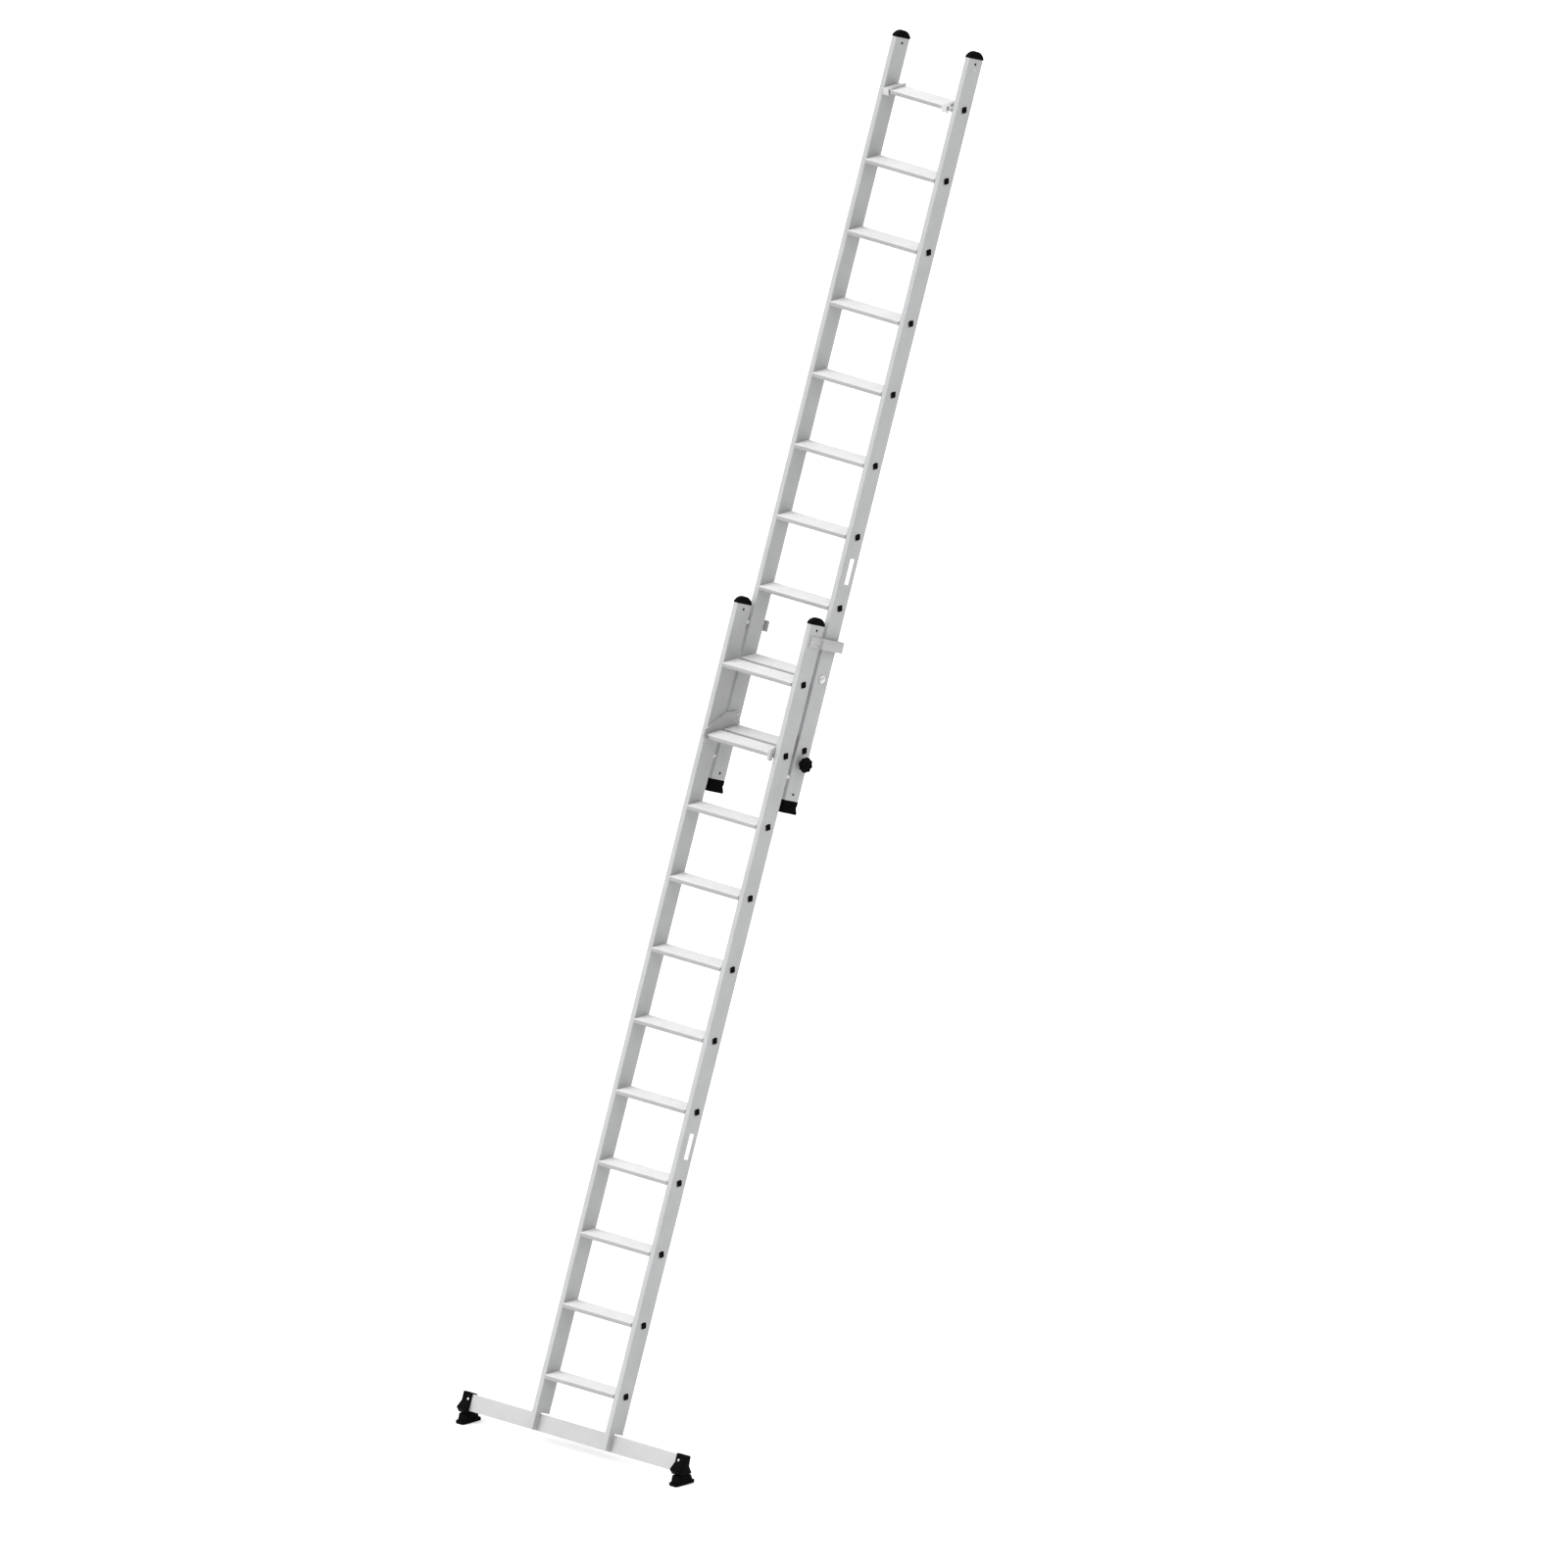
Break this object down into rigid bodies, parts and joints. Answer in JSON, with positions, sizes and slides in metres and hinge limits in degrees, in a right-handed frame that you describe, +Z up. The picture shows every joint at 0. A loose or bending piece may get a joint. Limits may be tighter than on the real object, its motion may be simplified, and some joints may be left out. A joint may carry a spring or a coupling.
{
  "type": "extension ladder",
  "caption": "Two-section aluminium extension ladder with flat treads, a sliding upper section on hooks, a wide stabiliser bar and self-levelling feet.",
  "frame": {"origin": "on the floor at the middle of the footprint of the ladder as it stands, leaning and extended", "axes": "+X across the ladder to the climber's right, +Y away from the climber towards the wall, +Z up"},
  "size_m": [1.198, 2.0457, 5.2069],
  "materials": {
    "stile": "satin extruded",
    "tread": "satin, finely ribbed on top",
    "plug": "black moulded",
    "cap": "black moulded",
    "dark_screw": "black oxide",
    "plate": "satin plate",
    "rivet": "satin",
    "glide": "pale low-friction plastic",
    "bar": "satin extruded",
    "block": "moulded",
    "bolt": "zinc plated",
    "foot_plastic": "black moulded",
    "steel": "zinc plated",
    "rubber": "black ribbed",
    "knob": "black moulded",
    "clip": "satin sheet"
  },
  "bodies": {
    "lower_section": {"lower_stile_left": "stile", "lower_stile_right": "stile", "lower_tread_01": "tread", "lower_tread_02": "tread", "lower_tread_03": "tread", "lower_tread_04": "tread", "lower_tread_05": "tread", "lower_tread_06": "tread", "lower_tread_07": "tread", "lower_tread_08": "tread", "lower_tread_09": "tread", "lower_tread_10": "tread", "lower_tread_11": "tread", "lower_tread_plugs": "plug", "lower_cap_left": "cap", "lower_cap_right": "cap", "lower_cap_screws": "dark_screw", "guide_bracket_left": "plate", "guide_bracket_right": "plate", "guide_bracket_rivets": "rivet", "lower_glide_studs": "glide", "stabiliser_bar": "bar", "bar_clamp_blocks": "block", "bar_bolts": "bolt", "foot_housing_left": "foot_plastic", "foot_housing_right": "foot_plastic", "foot_housing_bolts": "bolt"},
    "left_cross": {"foot_cross_left": "steel"},
    "right_cross": {"foot_cross_right": "steel"},
    "left_shoe": {"foot_shoe_left": "foot_plastic", "foot_sole_left": "rubber"},
    "right_shoe": {"foot_shoe_right": "foot_plastic", "foot_sole_right": "rubber"},
    "upper_section": {"upper_stile_left": "stile", "upper_stile_right": "stile", "upper_tread_01": "tread", "upper_tread_02": "tread", "upper_tread_03": "tread", "upper_tread_04": "tread", "upper_tread_05": "tread", "upper_tread_06": "tread", "upper_tread_07": "tread", "upper_tread_08": "tread", "upper_tread_09": "tread", "upper_tread_10": "tread", "upper_tread_plugs": "plug", "upper_cap_left": "cap", "upper_cap_right": "cap", "rubber_foot_left": "rubber", "rubber_foot_right": "rubber", "upper_end_screws": "dark_screw", "upper_glide_studs": "glide", "hook_plate_left": "plate", "hook_plate_right": "plate", "upper_rivets": "rivet", "stop_bolt": "bolt", "top_tread_clips": "clip"},
    "lock": {"star_knob": "knob", "lock_claw": "steel"}
  },
  "joints": [
    {"name": "fly_slide", "type": "slide", "parent": "lower_section", "child": "upper_section", "axis": [0, 0.342, 0.9397], "range_m": [-2.24, 0]},
    {"name": "left_foot_tilt", "type": "hinge", "parent": "lower_section", "child": "left_cross", "pos_m": [-0.575, -0.9735, 0.03], "axis": [1, 0, 0], "range_deg": [-6, 6]},
    {"name": "left_foot_roll", "type": "hinge", "parent": "left_cross", "child": "left_shoe", "pos_m": [-0.575, -0.9735, 0.03], "axis": [0, 1, 0], "range_deg": [-5, 5]},
    {"name": "right_foot_tilt", "type": "hinge", "parent": "lower_section", "child": "right_cross", "pos_m": [0.575, -0.9735, 0.03], "axis": [1, 0, 0], "range_deg": [-6, 6]},
    {"name": "right_foot_roll", "type": "hinge", "parent": "right_cross", "child": "right_shoe", "pos_m": [0.575, -0.9735, 0.03], "axis": [0, 1, 0], "range_deg": [-5, 5]},
    {"name": "lock_turn", "type": "hinge", "parent": "upper_section", "child": "lock", "pos_m": [0.2105, 0.03713, 2.57381], "axis": [1, 0, 0], "range_deg": [0, 90]}
  ]
}
